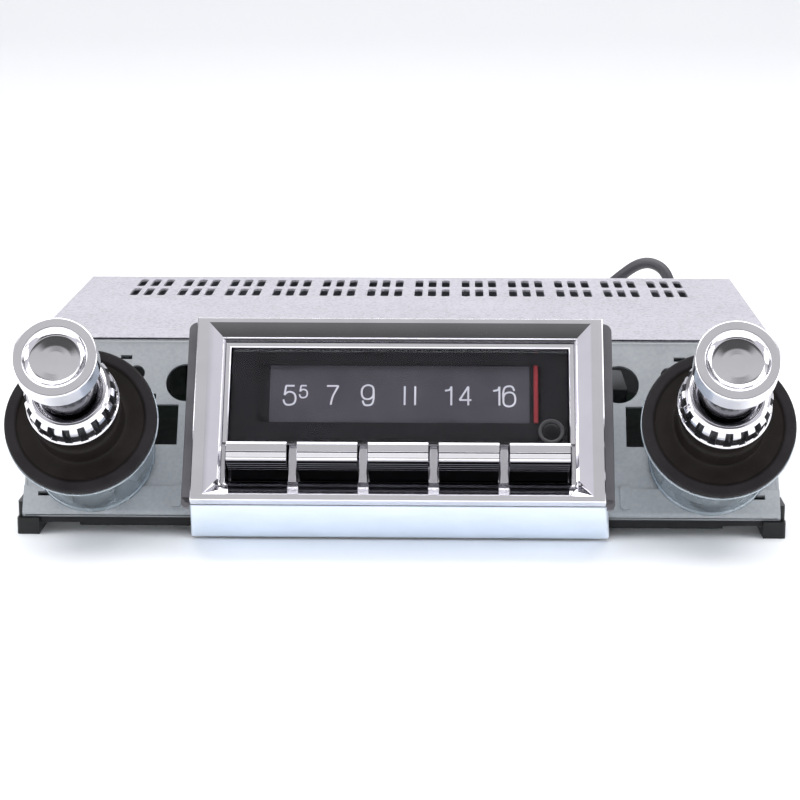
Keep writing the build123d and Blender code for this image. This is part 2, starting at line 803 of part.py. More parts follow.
antenna_axis = Plane(origin=(antenna_x, back_y, antenna_z), x_dir=(1, 0, 0), z_dir=(0, 1, 0))
with BuildPart() as antenna_socket:
    with BuildSketch(antenna_axis.offset(-6)):
        Circle(5.5)
    extrude(amount=17)
    with BuildSketch(antenna_axis):
        Circle(8.0)
    extrude(amount=2.5)
    with BuildSketch(antenna_axis.offset(11)):
        Circle(antenna_bore)
    extrude(amount=-14, mode=Mode.SUBTRACT)
save(antenna_socket.part, "antenna_socket")

power_axis = Plane(origin=(power_x, back_y, power_z), x_dir=(1, 0, 0), z_dir=(0, 1, 0))
power_cavity = (34.0, 9.0, 9.0)
with BuildPart() as power_socket:
    with BuildSketch(power_axis.offset(-12)):
        Rectangle(power_size[0] - 0.4, power_size[1] - 0.4)
    extrude(amount=15)
    with BuildSketch(power_axis.offset(3)):
        Rectangle(power_cavity[0], power_cavity[1])
    extrude(amount=-power_cavity[2], mode=Mode.SUBTRACT)
    with BuildSketch(power_axis.offset(3 - power_cavity[2])):
        with GridLocations(4.2, 4.2, 8, 2):
            Rectangle(0.9, 0.9)
    extrude(amount=1.2)
save(power_socket.part, "power_socket")

stud_axis = Plane(origin=(stud_x, back_y, stud_z), x_dir=(1, 0, 0), z_dir=(0, 1, 0))
with BuildPart() as support_stud:
    with BuildSketch(stud_axis.offset(-sheet)):
        Circle(stud_radius)
    extrude(amount=stud_shoulder + sheet)
    with BuildSketch(stud_axis.offset(stud_shoulder)):
        Circle(stud_free_radius)
    extrude(amount=stud_reach - stud_shoulder)
    with BuildSketch(stud_axis.offset(-sheet)):
        Circle(5.5)
    extrude(amount=-1.5)
save(support_stud.part, "support_stud")

with BuildPart() as stud_nut:
    with BuildSketch(stud_axis):
        Circle(7.0)
        Circle(stud_radius + 0.02, mode=Mode.SUBTRACT)
    extrude(amount=1.2)
    with BuildSketch(stud_axis.offset(1.2)):
        RegularPolygon(5.8, 6)
        Circle(stud_radius + 0.02, mode=Mode.SUBTRACT)
    extrude(amount=3.8)
save(stud_nut.part, "stud_nut")

# ---------------------------------------------------------------- pigtail cable
gland_end = 12.0
gland_axis = Plane(origin=(gland_x, back_y, gland_z), x_dir=(1, 0, 0), z_dir=(0, 1, 0))
with BuildPart() as cable_gland:
    with BuildSketch(gland_axis.offset(-2.4)):
        Circle(gland_radius - 0.05)
    extrude(amount=2.5)
    with BuildSketch(gland_axis.offset(-2.4)):
        Circle(gland_radius + 1.4)
    extrude(amount=1.5)
    with BuildSketch(gland_axis):
        Circle(gland_radius + 1.4)
    extrude(amount=1.4)
    with BuildSketch(gland_axis.offset(1.4)):
        Circle(gland_radius)
    with BuildSketch(gland_axis.offset(gland_end)):
        Circle(cable_diameter / 2 + 0.5)
    loft()
save(cable_gland.part, "cable_gland")

cable_floor = cable_diameter / 2
plug_radius = 4.4
cable_route = [
    (gland_x, back_y + 12.0, gland_z),
    (gland_x, back_y + 22.0, gland_z),
    (gland_x - 0.2, back_y + 31.0, gland_z + 5.8),
    (gland_x - 1.5, back_y + 35.5, gland_z + 14.3),
    (gland_x - 4.4, back_y + 39.0, gland_z + 21.9),
    (gland_x - 12.1, back_y + 43.5, gland_z + 23.8),
    (gland_x - 21.5, back_y + 47.5, gland_z + 16.2),
    (gland_x - 31.2, back_y + 50.0, gland_z + 6.3),
    (gland_x - 40.3, back_y + 49.0, gland_z - 7.2),
    (gland_x - 48.5, back_y + 46.0, gland_z - 19.5),
    (gland_x - 58.5, back_y + 42.0, gland_z - 26.6),
    (gland_x - 72.5, back_y + 38.0, cable_floor),
    (gland_x - 89.0, back_y + 36.5, cable_floor),
    (gland_x - 106.5, back_y + 39.0, cable_floor),
    (gland_x - 125.0, back_y + 41.0, cable_floor + 0.2),
    (gland_x - 143.5, back_y + 38.5, cable_floor + 1.9),
    (gland_x - 161.0, back_y + 34.0, plug_radius),
]


def corner_radii(route):
    """The largest arc that each corner's two runs leave room for."""
    radii = []
    for before, corner, after in zip(route, route[1:], route[2:]):
        first = Vector(*corner) - Vector(*before)
        second = Vector(*after) - Vector(*corner)
        half_turn = radians(first.get_angle(second) / 2)
        radii.append(0.45 * min(first.length, second.length) / tan(half_turn))
    return radii


radii = corner_radii(cable_route)
print("cable radii", [round(radius, 1) for radius in radii])
with BuildPart() as signal_cable:
    with BuildLine() as cable_path:
        FilletPolyline(*cable_route, radius=radii)
    with BuildSketch(Plane(origin=cable_route[0], z_dir=cable_path.line % 0)):
        Circle(cable_diameter / 2)
    sweep()
cable_length = sum(edge.length for edge in cable_path.edges())
section = pi * cable_diameter**2 / 4
volume_ratio = signal_cable.part.volume / (section * cable_length)
print("cable length", round(cable_length, 1), "volume ratio", round(volume_ratio, 4))
save(signal_cable.part, "signal_cable")

plug_axis = Plane(origin=cable_route[-1], z_dir=cable_path.line % 1)
with BuildPart() as cable_plug:
    with BuildSketch(plug_axis):
        Circle(cable_diameter / 2 + 0.7)
    with BuildSketch(plug_axis.offset(7)):
        Circle(plug_radius - 0.6)
    loft()
    with BuildSketch(plug_axis.offset(7)):
        Circle(plug_radius)
    extrude(amount=15)
    fillet(cable_plug.edges().filter_by(GeomType.CIRCLE).sort_by(Axis.X)[:1], 0.8)
save(cable_plug.part, "cable_plug")

with BuildPart() as plug_tip:
    with BuildSketch(plug_axis.offset(22)):
        Circle(1.75)
    extrude(amount=14)
    chamfer(plug_tip.edges().filter_by(GeomType.CIRCLE).sort_by(Axis.X)[0], 0.8)
save(plug_tip.part, "plug_tip")
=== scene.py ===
import json
import math

import bmesh
import bpy
from mathutils import Matrix, Vector


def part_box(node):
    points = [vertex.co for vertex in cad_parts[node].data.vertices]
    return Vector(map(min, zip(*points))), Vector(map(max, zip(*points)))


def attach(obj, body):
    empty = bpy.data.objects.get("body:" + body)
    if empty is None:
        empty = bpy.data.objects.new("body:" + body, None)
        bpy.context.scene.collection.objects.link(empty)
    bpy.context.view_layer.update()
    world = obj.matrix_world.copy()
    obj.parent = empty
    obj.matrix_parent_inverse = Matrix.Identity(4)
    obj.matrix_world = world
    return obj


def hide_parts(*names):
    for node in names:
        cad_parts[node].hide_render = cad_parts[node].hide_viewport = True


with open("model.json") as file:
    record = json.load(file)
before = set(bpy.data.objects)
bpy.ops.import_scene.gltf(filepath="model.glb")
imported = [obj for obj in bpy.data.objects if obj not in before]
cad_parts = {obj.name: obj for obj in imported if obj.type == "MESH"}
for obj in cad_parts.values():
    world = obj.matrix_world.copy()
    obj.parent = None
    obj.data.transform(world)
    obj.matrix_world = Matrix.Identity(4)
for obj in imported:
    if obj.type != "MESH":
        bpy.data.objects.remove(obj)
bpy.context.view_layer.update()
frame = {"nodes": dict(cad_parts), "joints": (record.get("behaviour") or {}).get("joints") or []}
nodes = frame["nodes"]
joints = {joint["name"]: joint for joint in frame["joints"]}


def linked(name, data):
    """A new object in the scene's own collection."""
    obj = bpy.data.objects.new(name, data)
    bpy.context.scene.collection.objects.link(obj)
    return obj


# ------------------------------------------------------------------ camera
camera = linked("camera", bpy.data.cameras.new("camera"))
camera.location = (0.01675, -0.74065, 0.18827)
camera.rotation_euler = (math.radians(90 - 11.99), 0, math.radians(1.395))
camera.data.sensor_width = 36
camera.data.lens = 105.88
camera.data.clip_start = 0.05
bpy.context.scene.camera = camera

# ------------------------------------------------------------------ frames
# Face frame: x across, u up the front plate, d out of it; zero midway between the shafts.
outward = -Vector(joints["left_knob_turn"]["axis"]).normalized()
shaft_x = abs(joints["left_knob_turn"]["pos_m"][0])
face_origin = Vector(joints["left_knob_turn"]["pos_m"])
face_origin.x = 0
upward = outward.cross(Vector((1, 0, 0)))
FACE = Matrix.Translation(face_origin) @ Matrix((
    (1, upward.x, outward.x, 0),
    (0, upward.y, outward.y, 0),
    (0, upward.z, outward.z, 0),
    (0, 0, 0, 1),
))
LEFT = FACE @ Matrix.Translation((-shaft_x, 0, 0))
RIGHT = FACE @ Matrix.Translation((shaft_x, 0, 0))
back_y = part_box("chassis_tray")[1][1]
MM = 0.001

# ------------------------------------------------------------------ cord
def round_curve(name, radius, facets):
    """Curve data with a round section and closed ends."""
    data = bpy.data.curves.new(name, "CURVE")
    data.dimensions = "3D"
    data.bevel_depth = radius
    data.bevel_resolution = facets
    data.use_fill_caps = True
    return data


def add_line(data, points, smooth=True, resolution=16):
    """A run of points as a smooth line, or as straight segments."""
    spline = data.splines.new("NURBS" if smooth else "POLY")
    spline.points.add(len(points) - 1)
    for point, place in zip(spline.points, points):
        point.co = (*place, 1)
    if smooth:
        spline.order_u = 3
        spline.use_endpoint_u = True
        spline.resolution_u = resolution


gland_x, gland_z = 0.0992, 0.031
cable_radius = 0.0021  # also the height of its line where it lies on the floor
route = [
    (gland_x, back_y + 0.0120, gland_z),
    (gland_x, back_y + 0.0220, gland_z),
    (gland_x - 0.0002, back_y + 0.0310, gland_z + 0.0058),
    (gland_x - 0.0015, back_y + 0.0355, gland_z + 0.0143),
    (gland_x - 0.0044, back_y + 0.0390, gland_z + 0.0219),
    (gland_x - 0.0121, back_y + 0.0435, gland_z + 0.0238),
    (gland_x - 0.0215, back_y + 0.0475, gland_z + 0.0162),
    (gland_x - 0.0312, back_y + 0.0500, gland_z + 0.0063),
    (gland_x - 0.0403, back_y + 0.0490, gland_z - 0.0072),
    (gland_x - 0.0485, back_y + 0.0460, gland_z - 0.0195),
    (gland_x - 0.0585, back_y + 0.0420, gland_z - 0.0266),
    (gland_x - 0.0725, back_y + 0.0380, cable_radius),
    (gland_x - 0.0890, back_y + 0.0365, cable_radius),
    (gland_x - 0.1065, back_y + 0.0390, cable_radius),
    (gland_x - 0.1250, back_y + 0.0410, cable_radius + 0.0002),
    (gland_x - 0.1435, back_y + 0.0385, cable_radius + 0.0019),
    (gland_x - 0.1610, back_y + 0.0340, 0.0044),
]
cable_data = round_curve("pigtail_cable", cable_radius, 6)
add_line(cable_data, route)
cable = linked("pigtail_cable", cable_data)


# ------------------------------------------------------------------ materials
class Graph:
    """A short way to write one material's node tree."""

    def __init__(self, name):
        self.material = bpy.data.materials.new(name)
        self.material.use_nodes = True
        self.tree = self.material.node_tree
        self.shader = self.tree.nodes["Principled BSDF"]
        self.coords = self.tree.nodes.new("ShaderNodeTexCoord").outputs["Object"]

    def node(self, kind, **inputs):
        made = self.tree.nodes.new(kind)
        for key, value in inputs.items():
            key = key.replace("_", " ")
            if isinstance(value, bpy.types.NodeSocket):
                self.tree.links.new(value, made.inputs[key])
            else:
                made.inputs[key].default_value = value
        return made

    def stretched(self, scale):
        return self.node("ShaderNodeMapping", Vector=self.coords, Scale=scale).outputs[0]

    def noise(self, scale, detail=3.0, roughness=0.55, coords=None):
        return self.node(
            "ShaderNodeTexNoise", Vector=coords or self.coords, Scale=scale, Detail=detail,
            Roughness=roughness,
        ).outputs["Fac"]

    def cells(self, scale, feature="F1", coords=None):
        made = self.node("ShaderNodeTexVoronoi", Vector=coords or self.coords, Scale=scale)
        made.feature = feature
        return made

    def ramp(self, value, *stops):
        made = self.tree.nodes.new("ShaderNodeValToRGB")
        self.tree.links.new(value, made.inputs[0])
        elements = made.color_ramp.elements
        while len(elements) < len(stops):
            elements.new(0.5)
        for element, (position, color) in zip(elements, stops):
            element.position = position
            element.color = color if len(color) == 4 else (*color, 1)
        return made.outputs[0]

    def span(self, value, low, high, start=0.25, end=0.75):
        made = self.node("ShaderNodeMapRange", Value=value)
        made.inputs["From Min"].default_value = start
        made.inputs["From Max"].default_value = end
        made.inputs["To Min"].default_value = low
        made.inputs["To Max"].default_value = high
        return made.outputs[0]

    def mix(self, factor, first, second, blend="MIX"):
        made = self.tree.nodes.new("ShaderNodeMix")
        made.data_type = "RGBA"
        made.blend_type = blend
        factor_socket, first_socket, second_socket = made.inputs[0], made.inputs[6], made.inputs[7]
        for socket, value in ((factor_socket, factor), (first_socket, first), (second_socket, second)):
            if isinstance(value, bpy.types.NodeSocket):
                self.tree.links.new(value, socket)
            else:
                socket.default_value = value if isinstance(value, float) else (*value, 1)
        return made.outputs[2]

    def bump(self, height, strength, distance, normal=None):
        made = self.node("ShaderNodeBump", Height=height, Strength=strength, Distance=distance)
        if normal is not None:
            self.tree.links.new(normal, made.inputs["Normal"])
        return made.outputs[0]

    def finish(self, color=None, rough=None, normal=None, **fixed):
        for key, value in (("Base Color", color), ("Roughness", rough), ("Normal", normal)):
            if isinstance(value, bpy.types.NodeSocket):
                self.tree.links.new(value, self.shader.inputs[key])
            elif value is not None:
                self.shader.inputs[key].default_value = value
        for key, value in fixed.items():
            self.shader.inputs[key.replace("_", " ")].default_value = value
        return self.material


def galvanised(name, dark, light, metallic, rough, cell, streak=(1, 1, 1), glint=0.16):
    """Bare or zinc-coated metal: spangle cells, faint cloudiness, fine pale scratches."""
    g = Graph(name)
    spangle = g.cells(cell).outputs["Color"]
    grey = g.node("ShaderNodeSeparateColor", Color=spangle).outputs[0]
    cloud = g.noise(55, 4.0)
    fine = g.noise(900, 2.0, coords=g.stretched(streak))
    tone = g.node("ShaderNodeMath", Value=0.0)
    tone.operation = "MULTIPLY_ADD"
    g.tree.links.new(grey, tone.inputs[0])
    tone.inputs[1].default_value = 0.35
    g.tree.links.new(cloud, tone.inputs[2])
    color = g.ramp(tone.outputs[0], (0.3, dark), (0.95, light))
    color = g.mix(g.span(fine, 0.0, glint), color, (0.93, 0.94, 0.97))
    normal = g.bump(fine, 0.12, 0.00006)
    sheen = g.span(tone.outputs[0], rough - 0.07, rough + 0.09, 0.3, 0.95)
    return g.finish(color, sheen, normal, Metallic=metallic)


def plated(name, tint, rough, scratch=0.05, metallic=1.0):
    """Plated metal: faint cloud in the polish, a few dull specks, hair-fine scratches."""
    g = Graph(name)
    cloud = g.noise(70, 3.0)
    hair = g.noise(420, 2.0, coords=g.stretched((1, 14, 6)))
    specks = g.cells(900).outputs["Distance"]
    speck = g.ramp(specks, (0.03, (1, 1, 1)), (0.06, (0, 0, 0)))
    dull = tuple(0.86 * c for c in tint)
    color = g.mix(g.span(cloud, 0.0, 0.6), tint, dull)
    color = g.mix(g.span(speck, 0.0, 0.25, 0.0, 1.0), color, (0.28, 0.27, 0.28))
    normal = g.bump(hair, scratch, 0.00003)
    return g.finish(color, g.span(hair, rough, rough + 0.05), normal, Metallic=metallic)


def moulded(name, tint, rough, grain=2600, depth=0.25, fleck=None, **fixed):
    """Moulded plastic or rubber: fine leathery grain, uneven sheen, a little dust."""
    g = Graph(name)
    skin = g.cells(grain, "DISTANCE_TO_EDGE").outputs["Distance"]
    cloud = g.noise(90, 4.0)
    dust = g.noise(1500, 2.0)
    worn = tuple(min(1.0, c * 1.5 + 0.006) for c in tint)
    color = g.mix(g.span(cloud, 0.0, 0.7), tint, worn)
    spots = g.ramp(dust, (0.68, (0, 0, 0)), (0.76, (1, 1, 1)))
    color = g.mix(g.span(spots, 0.0, 0.35, 0.0, 1.0), color, fleck or worn)
    normal = g.bump(skin, depth, 0.00005)
    return g.finish(color, g.span(cloud, rough - 0.06, rough + 0.08), normal, **fixed)


def speckled_cover():
    """Aluminium-zinc sheet: tiny bright and dull grains over a pale lilac ground."""
    g = Graph("cover_steel_look")
    grain = g.noise(1050, 3.0, 0.7)
    crystal = g.cells(420).outputs["Color"]
    grey = g.node("ShaderNodeSeparateColor", Color=crystal).outputs[0]
    cloud = g.noise(30, 3.0)
    color = g.ramp(
        grain, (0.34, (0.27, 0.255, 0.29)), (0.46, (0.50, 0.485, 0.53)), (0.62, (0.60, 0.585, 0.63)),
    )
    color = g.mix(g.span(grey, 0.0, 0.18, 0.0, 1.0), color, (0.64, 0.62, 0.69))
    color = g.mix(g.span(cloud, 0.0, 0.25), color, (0.76, 0.76, 0.84))
    normal = g.bump(grain, 0.22, 0.00008)
    return g.finish(color, g.span(grain, 0.34, 0.5), normal, Metallic=0.55)


def printed_board():
    """Nearly black green circuit board: slightly paler runs under the mask and small pads."""
    g = Graph("circuit_board_look")
    runs = g.node("ShaderNodeTexBrick", Vector=g.stretched((160, 160, 160)))
    runs.inputs["Mortar Size"].default_value = 0.06
    tracks = g.span(runs.outputs["Fac"], 0.0, 1.0, 0.0, 1.0)
    pads = g.ramp(g.cells(420).outputs["Distance"], (0.12, (1, 1, 1)), (0.16, (0, 0, 0)))
    color = g.mix(tracks, (0.002, 0.010, 0.006), (0.006, 0.026, 0.013))
    color = g.mix(g.span(pads, 0.0, 0.8, 0.0, 1.0), color, (0.12, 0.11, 0.09))
    return g.finish(color, g.span(g.noise(200), 0.28, 0.4), g.bump(tracks, 0.2, 0.00005))


def clear_window():
    """Clear acrylic with a faint smear in its polish."""
    g = Graph("clear_lens_look")
    smear = g.noise(45, 3.0)
    color = g.mix(g.span(smear, 0.0, 1.0), (0.93, 0.93, 0.95), (0.88, 0.88, 0.91))
    return g.finish(
        color, g.span(smear, 0.01, 0.05), None, Transmission_Weight=1.0, IOR=1.2, Specular_IOR_Level=0.3,
    )


looks = {
    "zinc_steel": galvanised(
        "zinc_steel_look", (0.262, 0.277, 0.29), (0.30, 0.314, 0.329), 0.3, 0.5, 210, glint=0.07,
    ),
    "cover_steel": speckled_cover(),
    "zinc_cup": galvanised(
        "zinc_cup_look", (0.24, 0.29, 0.32), (0.50, 0.56, 0.60), 0.9, 0.24, 130, (1, 1, 5),
    ),
    "chrome": plated("chrome_look", (0.86, 0.85, 0.89), 0.035),
    "satin_chrome": plated("satin_chrome_look", (0.74, 0.73, 0.77), 0.16, 0.12),
    "dark_trim": moulded("dark_trim_look", (0.085, 0.082, 0.09), 0.42, 1800, 0.2, Metallic=0.5),
    "screw_steel": moulded("screw_steel_look", (0.03, 0.03, 0.032), 0.36, 2400, 0.2, Metallic=0.8),
    "brass_bushing": galvanised("brass_look", (0.40, 0.27, 0.10), (0.62, 0.45, 0.19), 1.0, 0.3, 400),
    "heat_sink_aluminium": galvanised(
        "aluminium_look", (0.55, 0.56, 0.57), (0.7, 0.71, 0.72), 1.0, 0.38, 500, (1, 1, 30),
    ),
    "black_plastic": moulded(
        "black_plastic_look", (0.008, 0.0078, 0.0085), 0.42, Specular_IOR_Level=0.22,
    ),
    "disc_black": moulded(
        "disc_black_look", (0.0085, 0.0065, 0.006), 0.48, 1500, 0.22, (0.05, 0.04, 0.03),
        Specular_IOR_Level=0.08,
    ),
    "white_plastic": moulded(
        "white_plastic_look", (0.74, 0.74, 0.76), 0.45, 3000, 0.1, (0.8, 0.8, 0.82),
    ),
    "scale_grey": moulded(
        "scale_grey_look", (0.057, 0.053, 0.062), 0.6, 3500, 0.03, Specular_IOR_Level=0.1,
    ),
    "pointer_red": moulded("pointer_red_look", (0.21, 0.006, 0.010), 0.4, 3000, 0.08),
    "sensor_dark": moulded(
        "sensor_dark_look", (0.004, 0.004, 0.005), 0.2, 3000, 0.02, Specular_IOR_Level=0.15,
    ),
    "clear_lens": clear_window(),
    "circuit_board": printed_board(),
    "capacitor_sleeve": moulded("capacitor_look", (0.02, 0.022, 0.06), 0.34, 2500, 0.1),
    "black_rubber": moulded(
        "black_rubber_look", (0.006, 0.006, 0.006), 0.3, 2200, 0.3, Specular_IOR_Level=0.3,
    ),
    "cable_rubber": moulded("cable_rubber_look", (0.042, 0.040, 0.047), 0.42, 1900, 0.22),
}
# a dark copy of the chrome: painted reflection on the knob necks, painted shade on the key undersides
painted_shade_chrome = plated("painted_shade_chrome_look", (0.10, 0.10, 0.115), 0.09, 0.08)
# near-black for the ring's flute slots: painted shade in the narrow slots
painted_slot_shade = moulded("painted_slot_shade_look", (0.012, 0.012, 0.014), 0.3, 3000, 0.1)
# a lighter, glossier copy of the disc's black plastic for its flat outer rim: painted light
painted_rim_light = moulded(
    "painted_rim_light_look", (0.011, 0.0095, 0.0105), 0.5, 1500, 0.22, (0.07, 0.06, 0.05), Specular_IOR_Level=0.12,
)
sensor_black = moulded("sensor_ring_look", (0.014, 0.014, 0.016), 0.5, 3000, 0.05)
ink = moulded("dial_ink", (0.52, 0.52, 0.55), 0.6, 4000, 0.05, (0.6, 0.6, 0.62))
# pale blue, mostly diffuse copy of the chrome for the nose sleeve: painted reflection of the bright floor on
# its underside
sleeve_painted_reflection_look = plated("sleeve_painted_reflection_look", (0.80, 0.87, 0.97), 0.3, 0.06, metallic=0.25)
mask_black = moulded("mask_black", (0.0085, 0.0078, 0.0095), 0.6, 5000, 0.02, Specular_IOR_Level=0.1)


def dress(obj, slot_name, look=None):
    obj.data.materials.clear()
    obj.data.materials.append(look or looks[slot_name])


# ------------------------------------------------------------------ mesh building
def piece(
    name, shape, place, body, slot_name, stands_for=(), angle=32, bevel=0.0, look=None, accent=None,
):
    """A mesh piece from local millimetres, set in the frame by its matrix and riding on a body.

    accent is a second look and a test of a face's local centre that says which faces get it.
    """
    vertices, faces = shape
    mesh = bpy.data.meshes.new(name)
    mesh.from_pydata([place @ (Vector(v) * MM) for v in vertices], [], faces)
    mesh.validate()
    clean = bmesh.new()
    clean.from_mesh(mesh)
    bmesh.ops.remove_doubles(clean, verts=clean.verts, dist=1e-7)
    bmesh.ops.recalc_face_normals(clean, faces=clean.faces)
    clean.to_mesh(mesh)
    clean.free()
    mesh.shade_smooth()
    mesh.set_sharp_from_angle(angle=math.radians(angle))
    obj = linked(name, mesh)
    if bevel:
        edge = obj.modifiers.new("edge", "BEVEL")
        edge.width = bevel * MM
        edge.segments = 2
        edge.limit_method = "ANGLE"
        edge.angle_limit = math.radians(angle)
        edge.harden_normals = True
    dress(obj, slot_name, look)
    if accent:
        second, chosen = accent
        mesh.materials.append(second)
        home = place.inverted()
        for polygon in mesh.polygons:
            if chosen((home @ polygon.center) / MM):
                polygon.material_index = 1
    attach(obj, body)
    if stands_for:
        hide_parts(*stands_for)
    return obj


def lathe(outline, steps=96, radius=None, closed=False):
    """Vertices and faces of an (r, z) outline turned about z; radius(r, z, turn) may shape it."""
    vertices, faces = [], []
    rows = []
    for r, z in outline:
        if r == 0:
            rows.append([len(vertices)])
            vertices.append((0, 0, z))
            continue
        row = []
        for i in range(steps):
            turn = 2 * math.pi * i / steps
            shaped = radius(r, z, i / steps) if radius else r
            row.append(len(vertices))
            vertices.append((shaped * math.cos(turn), shaped * math.sin(turn), z))
        rows.append(row)
    pairs = list(zip(rows, rows[1:]))
    if closed:
        pairs.append((rows[-1], rows[0]))
    for first, second in pairs:
        for i in range(steps):
            j = (i + 1) % steps
            if len(first) == 1 and len(second) == 1:
                continue
            if len(first) == 1:
                faces.append((first[0], second[i], second[j]))
            elif len(second) == 1:
                faces.append((first[i], first[j], second[0]))
            else:
                faces.append((first[i], first[j], second[j], second[i]))
    return vertices, faces


def rounded(points, radius=0.25, steps=3):
    """An outline with its corners eased; a close support point each side keeps the flats flat."""
    result = [points[0]]
    for before, corner, after in zip(points, points[1:], points[2:]):
        b, c, a = Vector(before), Vector(corner), Vector(after)
        reach = min(radius, 0.42 * (b - c).length, 0.42 * (a - c).length)
        back, ahead = (b - c).normalized(), (a - c).normalized()
        start, end = c + back * reach, c + ahead * reach
        result.append(tuple(c + back * reach * 1.12))
        for i in range(steps + 1):
            t = i / steps
            result.append(tuple((1 - t) ** 2 * start + 2 * t * (1 - t) * c + t**2 * end))
        result.append(tuple(c + ahead * reach * 1.12))
    result.append(points[-1])
    return result


def rectangle(x_low, x_high, u_low, u_high, d, corner=0.0, steps=5):
    """A loop of points at depth d, with square or round corners."""
    if corner == 0:
        return [(x_low, u_low, d), (x_high, u_low, d), (x_high, u_high, d), (x_low, u_high, d)]
    points = []
    centres = (
        (x_high - corner, u_high - corner, 0), (x_low + corner, u_high - corner, 90),
        (x_low + corner, u_low + corner, 180), (x_high - corner, u_low + corner, 270),
    )
    for cx, cu, start in centres:
        for i in range(steps + 1):
            turn = math.radians(start + 90 * i / steps)
            points.append((cx + corner * math.cos(turn), cu + corner * math.sin(turn), d))
    return points


def frame_loft(loops, closed=True, cap_start=False, cap_end=False):
    """Skins a run of matching point loops, such as a moulding's section round a frame."""
    vertices = [point for loop in loops for point in loop]
    count = len(loops[0])
    faces = []
    pairs = [(i, i + 1) for i in range(len(loops) - 1)]
    if closed:
        pairs.append((len(loops) - 1, 0))
    for first, second in pairs:
        for i in range(count):
            j = (i + 1) % count
            here, there = first * count, second * count
            faces.append((here + i, here + j, there + j, there + i))
    if cap_start:
        faces.append(tuple(reversed(range(count))))
    if cap_end:
        faces.append(tuple((len(loops) - 1) * count + i for i in range(count)))
    return vertices, faces


def extruded(profile, x_low, x_high):
    """A (d, u) profile run across x, with both ends capped."""
    loops = [[(x, u, d) for d, u in profile] for x in (x_low, x_high)]
    return frame_loft(loops, closed=False, cap_start=True, cap_end=True)


def joined(*parts):
    """Several shapes as one."""
    vertices, faces = [], []
    for more_vertices, more_faces in parts:
        base = len(vertices)
        vertices += more_vertices
        faces += [tuple(base + i for i in face) for face in more_faces]
    return vertices, faces


def block(x_low, x_high, u_low, u_high, d_low, d_high):
    """A plain box."""
    loops = [rectangle(x_low, x_high, u_low, u_high, d) for d in (d_low, d_high)]
    return frame_loft(loops, closed=False, cap_start=True, cap_end=True)


# ------------------------------------------------------------------ dual controls
knob_profile = rounded([
    (3.05, 56.3), (8.2, 56.3), (8.6, 56.8), (8.6, 70.6), (9.1, 71.7), (11.4, 71.8), (11.85, 72.2),
    (11.85, 79.1), (11.55, 79.4), (9.1, 79.4), (8.9, 79.3), (8.4, 78.72), (7.6, 78.15),
    (7.2, 77.93), (6.6, 77.84), (4.2, 77.62), (2.2, 77.52), (0, 77.5),
], 0.32)
flutes, steps_per_flute, slot_depth = 18, 16, 1.5
ring_profile = rounded([
    (4.1, 46.1), (6.4, 46.1), (6.4, 50.4), (11.1, 50.4), (11.1, 45.1), (13.35, 45.05), (13.55, 45.3),
    (13.55, 46.0), (13.2, 46.35),
], 0.2)
band = [
    (13.2, 46.4), (13.12, 46.5), (13.07, 46.9), (13.05, 48.6), (13.02, 50.4), (13.0, 52.1),
    (12.97, 52.4), (12.85, 52.75),
]
shoulder = rounded([
    (12.85, 52.8), (12.65, 53.1), (12.4, 53.5), (12.05, 53.95), (12.0, 54.0), (11.2, 54.9),
    (10.4, 55.2), (9.7, 55.1), (9.4, 54.4), (9.2, 54.05), (4.1, 54.0),
], 0.35)
ring_outline = ring_profile + band + shoulder


def land(z):
    """The ring's outer radius between its slots."""
    return 13.0 - 0.72 * max(0.0, z - 52.6)


def fluted(r, z, turn):
    """Straight slots with flat floors and steep sides, closed off at both ends."""
    if not 46.45 <= z <= 53.97 or r < 11.9:
        return r
    share = (turn * flutes) % 1
    side = max(0.0, min(1.0, (0.24 - abs(share - 0.5)) / 0.05))
    return r - slot_depth * side


cup_profile = rounded([
    (4.95, 0.85), (18.4, 0.85), (18.6, 1.1), (18.45, 1.7), (18.0, 2.2), (18.0, 25.9), (18.4, 27.2),
    (19.0, 27.6), (22.4, 27.65), (22.8, 27.9), (22.8, 28.3), (22.4, 28.48), (18.0, 28.48), (17.3, 28.2),
    (17.2, 27.6), (17.2, 1.65), (4.95, 1.65),
], 0.3)
disc_profile = rounded([
    (4.95, 28.5), (22.2, 28.5), (22.55, 28.9), (22.55, 30.5), (22.1, 30.9), (19.6, 30.9), (19.1, 30.55),
    (18.7, 30.15), (14.6, 29.95), (13.5, 30.1), (13.0, 30.7), (13.0, 37.4), (12.3, 38.2), (8.6, 38.2),
    (8.2, 37.9), (4.95, 37.9),
], 0.4)
for side, place in (("left", LEFT), ("right", RIGHT)):
    piece(
        f"{side}_cup_shell", lathe(cup_profile, closed=True), place,
        "chassis", "zinc_cup", (f"{side}_cup",), 40,
    )
    # the flat outer rim takes the lighter copy of the disc's black: painted light
    piece(
        f"{side}_disc_pad", lathe(disc_profile, closed=True), place,
        "chassis", "disc_black", (f"{side}_disc",), 28,
        accent=(painted_rim_light, lambda c: c.z > 28.6 and math.hypot(c.x, c.y) > 19.2),
    )
    # the flute slots take the near-black look: painted shade
    piece(
        f"{side}_ring_fluted", lathe(ring_outline, flutes * steps_per_flute, fluted, closed=True), place,
        f"{side}_ring_body", "chrome", (f"{side}_ring_knob",), 40,
        accent=(
            painted_slot_shade, lambda c: 46.45 < c.z < 54.1 and 10.0 < math.hypot(c.x, c.y) < land(c.z) - 0.3,
        ),
    )
    # the knob's neck takes the dark chrome copy: painted reflection of the black disc below it
    piece(
        f"{side}_knob_cap", lathe(knob_profile, 128), place,
        f"{side}_knob_body", "chrome", (f"{side}_knob",), 30,
        accent=(painted_shade_chrome, lambda c: c.z < 70.5 and math.hypot(c.x, c.y) < 9.0),
    )

